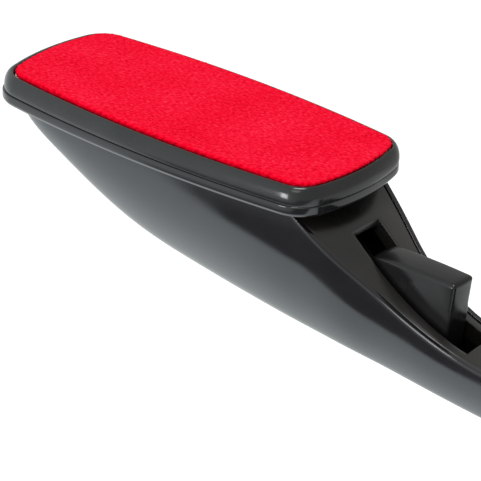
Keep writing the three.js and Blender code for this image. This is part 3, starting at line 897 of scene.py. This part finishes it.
def make_deck():
    """Plate that closes the hull under the head, with the swivel's collar and the lever pin's two ears."""
    inset = LIP + GAP
    deck_low, deck_high = node_mm("swivel_deck")
    stations = [s for s in STATIONS if s[0] == "bow" or (s[0] == "mid" and s[1] < NECK_START)]
    top, bottom = deck_high[2], HULL_TOP - PLATE - COVER_SINK

    def ring(more, z):
        """The deck's outline at height z, drawn in by more."""
        outline = [plan(s, inset + more) for s in stations]
        outline.append((deck_high[0] - more, outline[-1][1]))
        outline += [(x, -y) for x, y in reversed(outline)]
        return [(x, y, z) for x, y in outline]

    deck = make_object("deck", *skin([ring(0, bottom), ring(0, top - 0.2), ring(0.2, top)]), SATIN)
    below, above = deck_low[2] - THROUGH, deck_high[2] + THROUGH
    combine(deck, rod(COLLAR_RADIUS, COLLAR_BOTTOM, bottom + BITE, sides=64), "UNION")
    for side in (-1, 1):
        near, far = sorted((side * (LEVER_HALF_WIDTH + GAP), side * pin_high[1]))
        low, high = (PIVOT_X - EAR_REACH, near, deck_low[2]), (PIVOT_X + EAR_REACH, far, bottom + BITE)
        combine(deck, block(low, high), "UNION")
    combine(deck, rod(HUB_RADIUS + GAP, below, above, sides=64), "DIFFERENCE")
    combine(deck, rod(PLUNGER_RADIUS + GAP, below, above, PLUNGER_X), "DIFFERENCE")
    combine(deck, on_pin_axis(rod(PIN_RADIUS + GAP / 2, -PIN_BORE, PIN_BORE)), "DIFFERENCE")
    for screw in map(screw_place, DECK_SCREWS):
        recess = screw.top - RECESS
        combine(deck, rod(screw.radius + GAP, recess, above, screw.x, screw.y), "DIFFERENCE")
        combine(deck, rod(SHANK_BORE, below, above, screw.x, screw.y, 16), "DIFFERENCE")
    clean(deck)
    finish_piece(deck, "handle", "satin_black", "swivel_deck")


make_deck()

# ---------------------------------------------------------------- lever


def curve(start, control, end, steps=14):
    """Points of a quadratic Bezier curve, without its last one."""
    t = np.linspace(0, 1, steps, endpoint=False)[:, None]
    a, b, c = (np.array(p, float) for p in (start, control, end))
    return (1 - t) ** 2 * a + 2 * t * (1 - t) * b + t ** 2 * c


def line(start, end, steps=6):
    """Points of a straight line, without its last one."""
    t = np.linspace(0, 1, steps, endpoint=False)[:, None]
    return np.array(start, float) * (1 - t) + np.array(end, float) * t


def lever_side():
    """Side view of the lever, counter-clockwise: eye, belly, end, thumb face and the arm's top."""
    eye, foot = 3.6, -24.45  # radius of the eye and height of the flat that lies on the plunger's foot
    arc = [
        (PIVOT_X + eye * math.cos(a), PIVOT_Z + eye * math.sin(a))
        for a in np.linspace(math.pi * 0.35, math.pi * 1.5, 22, endpoint=False)
    ]
    belly = [
        line((PIVOT_X, PIVOT_Z - eye), (40, foot)),
        line((40, foot), (52, foot)),
        curve((52, foot), (60, -33.5), (68, -38.5)),
        line((68, -38.5), (84, -43.4)),
        line((84, -43.4), (91.5, -44.4)),
    ]
    end = [
        curve((91.5, -44.4), (92.9, -44.5), (93.1, -43.2), 6),
        line((93.1, -43.2), (95.2, -23.4), 14),
        curve((95.2, -23.4), (95.6, -21.8), (94, -21.6), 8),
    ]
    thumb_face = [
        curve((94, -21.6), (84, -21.2), (70.5, -21.7)),
        curve((70.5, -21.7), (66.6, -21.9), (65.4, -25.6), 10),
        line((65.4, -25.6), (64.5, -30.5)),
    ]
    arm_top = [curve((64.5, -30.5), (56, -23), (44, -18.4)), line((44, -18.4), arc[0])]
    return np.vstack([arc, *belly, *end, *thumb_face, *arm_top])


def make_lever():
    """Lever with round edges all along, a domed thumb face and sides that draw in towards its end."""
    side = lever_side()
    ahead, behind = np.roll(side, -1, 0), np.roll(side, 1, 0)
    tangent = ahead - behind
    normal = np.column_stack([tangent[:, 1], -tangent[:, 0]])
    normal /= np.maximum(np.linalg.norm(normal, axis=1), 1e-6)[:, None]
    in_hull = side[:, 0] < 60
    on_thumb_face = (side[:, 0] > 64) & (side[:, 1] > -31)
    along_thumb = np.clip((side[:, 0] - 72) / 24, 0, 1)
    edge = np.where(in_hull, 0.4, 1.0)
    dome = np.where(on_thumb_face, 0.3, 0.0)
    half = LEVER_HALF_WIDTH - 0.35 * along_thumb
    turns = np.linspace(0, math.pi / 2, 7)
    across = [("edge", a) for a in turns[::-1]] + [("flat", s) for s in (0.8, 0.6, 0.4, 0.2, 0.0)]
    rings = []
    for sign in (-1, 1):
        for kind, value in across if sign < 0 else reversed(across[:-1]):
            if kind == "edge":
                y = half - edge * (1 - math.sin(value))
                inset = edge * (1 - math.cos(value))
            else:
                y, inset = (half - edge) * value, 0
            fall = dome * (y / half) ** 2
            places = side - normal * (inset + fall)[:, None]
            rings.append(np.column_stack([places[:, 0], sign * y, places[:, 1]]))
    lever = make_object("thumb_lever", *skin(rings), LEVER, sharp=50)
    low, high = side[:, 1].min(), side[:, 1].max()
    front, back = PLUNGER_X - FORK_BEFORE, PLUNGER_X + FORK_BEHIND
    combine(lever, block((front, -FORK_SIDE, low), (back, FORK_SIDE, high)), "DIFFERENCE")
    combine(lever, on_pin_axis(rod(PIN_RADIUS + GAP, -PIN_BORE, PIN_BORE)), "DIFFERENCE")
    clean(lever, 50)
    finish_piece(lever, "lever", "lever_black", "release_lever")


make_lever()

# ---------------------------------------------------------------- screws and the pieces inside


def make_screw(node, body, up):
    """Pan-head screw with a cross recess, in the place of its CAD node."""
    x, y, radius, low, high = screw_place(node)
    length, tall, shank = high - low, radius * 0.55, 1.1
    # [radius, distance from the head's face, rounding]
    corners = [
        (0, 0, 0), (radius * 0.75, 0, 0.1), (radius, tall * 0.5, 0.5), (radius, tall, 0.05),
        (shank, tall, 0.05), (shank, length - 1.2, 0.2), (0.25, length, 0.05), (0, length, 0),
    ]
    face, direction = (low, 1) if up else (high, -1)
    profile = [(r, face + direction * z) for r, z in rounded(corners, steps=3)]
    screw = make_object(node.replace("screw", "fastener"), *turned(profile, x, y), STEEL)
    reach, slit = radius * 0.55, radius * 0.13
    bottom, top = sorted((face - direction, face + direction * 0.8))
    for wide, deep in ((reach, slit), (slit, reach)):
        combine(screw, block((x - wide, y - deep, bottom), (x + wide, y + deep, top)), "DIFFERENCE")
    clean(screw)
    finish_piece(screw, body, "steel", node)


def make_spring():
    """Coil spring under the plunger, from its seat up to the plunger's foot."""
    (x0, y0, z0), (x1, y1, z1) = spring_low, spring_high
    centre = np.array([(x0 + x1) / 2, 0, 0])
    radius = (y1 - y0) / 2 - SPRING_WIRE
    rise = z1 - z0 - 2 * SPRING_WIRE
    up = np.array([0, 0, 1])
    rings = []
    for share in np.linspace(0, 1, SPRING_TURNS * 28 + 1):
        angle = share * SPRING_TURNS * 2 * math.pi
        out = np.array([math.cos(angle), math.sin(angle), 0])
        middle = centre + radius * out + (z0 + SPRING_WIRE + rise * share) * up
        rings.append([
            middle + SPRING_WIRE * (math.cos(t) * out + math.sin(t) * up)
            for t in np.linspace(0, 2 * math.pi, 12, endpoint=False)
        ])
    spring = make_object("spring", *skin(rings), STEEL)
    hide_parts("lock_spring")
    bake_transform(spring)


make_spring()

for head_screw, deck_screw in zip(HEAD_SCREWS, DECK_SCREWS):
    make_screw(head_screw, "head", up=True)
    make_screw(deck_screw, "handle", up=False)
for cover_screw in COVER_SCREWS:
    make_screw(cover_screw, "handle", up=True)

# These keep their CAD mesh and only get a material.
CARRIED_OVER = {
    "lock_plunger": SATIN, "lever_pin": STEEL, "swivel_washer": STEEL,
    "wave_washer": STEEL, "swivel_screw": STEEL, "pad_board": SATIN, "pad_foam": FOAM,
}
for node, material in CARRIED_OVER.items():
    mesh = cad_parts[node].data
    mesh.materials.clear()
    mesh.materials.append(material)
    mesh.shade_smooth()
    mesh.set_sharp_from_angle(angle=math.radians(35))

# ---------------------------------------------------------------- studio

FLOOR_DROP, FLOOR_SIZE = 260, 9000


def paper():
    """White paper, lit evenly enough to come out white."""
    n = Nodes("white_paper")
    n.set(Base_Color=(0.9, 0.9, 0.9, 1), Roughness=0.8, Emission_Color=(1, 1, 1, 1), Emission_Strength=0.18)
    return n.material


def make_floor():
    """A wide sheet of white paper far below."""
    half, level = FLOOR_SIZE / 2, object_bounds()[0].z / MM - FLOOR_DROP
    points = [(-half, -half, level), (half, -half, level), (half, half, level), (-half, half, level)]
    sheet = make_object("floor", points, [(0, 1, 2, 3)], paper())
    sheet.visible_glossy = False


def softbox(name, place, aim, size, watts):
    """A square area light that shines at a point."""
    light = bpy.data.objects.new(name, bpy.data.lights.new(name, "AREA"))
    bpy.context.scene.collection.objects.link(light)
    light.data.shape, light.data.size, light.data.energy = "SQUARE", size * MM, watts
    turn = (Vector(place) - Vector(aim)).to_track_quat("Z", "Y")
    light.matrix_world = Matrix.Translation(Vector(place) * MM) @ turn.to_matrix().to_4x4()


def make_sky():
    """Surroundings as a white studio: light from the left, a white table below and a dim part beyond."""
    world = bpy.data.worlds.new("studio")
    world.use_nodes = True
    tree = world.node_tree

    def add(kind, *sources, output=0, **settings):
        """Output of a new node whose inputs are links or values."""
        node = tree.nodes.new(kind)
        for key, value in settings.items():
            setattr(node, key, value)
        for socket, source in zip(node.inputs, sources):
            if isinstance(source, bpy.types.NodeSocket):
                tree.links.new(source, socket)
            else:
                socket.default_value = source
        return node.outputs[output]

    def step(source, low, high):
        """Smoothly from 0 below low to 1 above high."""
        return add("ShaderNodeMapRange", source, low, high, 0.0, 1.0, interpolation_type="SMOOTHSTEP")

    def mix(factor, first, second):
        """The first colour where factor is 0 and the second where it is 1."""
        node = tree.nodes.new("ShaderNodeMix")
        node.data_type = "RGBA"
        tree.links.new(factor, node.inputs["Factor"])
        for socket, source in zip(("A", "B"), (first, second)):
            slots = [i for i in node.inputs if i.name == socket and i.type == "RGBA"]
            if isinstance(source, bpy.types.NodeSocket):
                tree.links.new(source, slots[0])
            else:
                slots[0].default_value = (*source, 1)
        return next(o for o in node.outputs if o.type == "RGBA")

    def along(axis):
        """How far the direction of view goes along an axis."""
        return add("ShaderNodeVectorMath", direction, axis, operation="DOT_PRODUCT", output="Value")

    direction = tree.nodes.new("ShaderNodeTexCoord").outputs["Generated"]
    parts = tree.nodes.new("ShaderNodeSeparateXYZ")
    tree.links.new(direction, parts.inputs[0])
    x, y, z = parts.outputs
    turn = add("ShaderNodeMath", y, x, operation="ARCTAN2")
    beside = step(turn, math.radians(-133.5), math.radians(-130.5))
    edge = along((0.03, -0.70, 0.715))
    beyond = step(edge, -0.02, 0.02)
    far = step(turn, math.radians(60), math.radians(110))
    both = add("ShaderNodeMath", beside, beyond, operation="MULTIPLY")
    dim = add("ShaderNodeMath", both, far, operation="SUBTRACT", use_clamp=True)
    table = mix(step(y, -0.35, 0.45), (1.7, 1.84, 1.9), (0.95, 1.0, 1.0))
    below = mix(dim, table, (0.2, 0.2, 0.2))
    window = along((-0.8, -0.6, 0.0))
    above = mix(step(window, -0.2, 0.9), (0.6, 0.6, 0.58), (1.3, 1.36, 1.38))
    # the table's edge, which stands higher towards the handle
    raised = add("ShaderNodeMath", step(x, 0.2, 0.6), 0.2, operation="MULTIPLY")
    height = add("ShaderNodeMath", z, raised, operation="SUBTRACT")
    sky = mix(step(height, -0.52, -0.38), below, above)
    tree.links.new(sky, tree.nodes["Background"].inputs["Color"])
    bpy.context.scene.world = world


def make_studio():
    """The floor, the surroundings and three soft lights."""
    make_floor()
    make_sky()
    softbox("key", (180, -260, 1400), (0, 0, 0), 520, 12)
    softbox("low_side", (-80, -900, -45), (0, 0, 0), 300, 4.5)
    softbox("beside_camera", (400, -860, 800), (60, 0, -40), 450, 1.6)
    bpy.context.scene.view_settings.view_transform = "Standard"


make_studio()
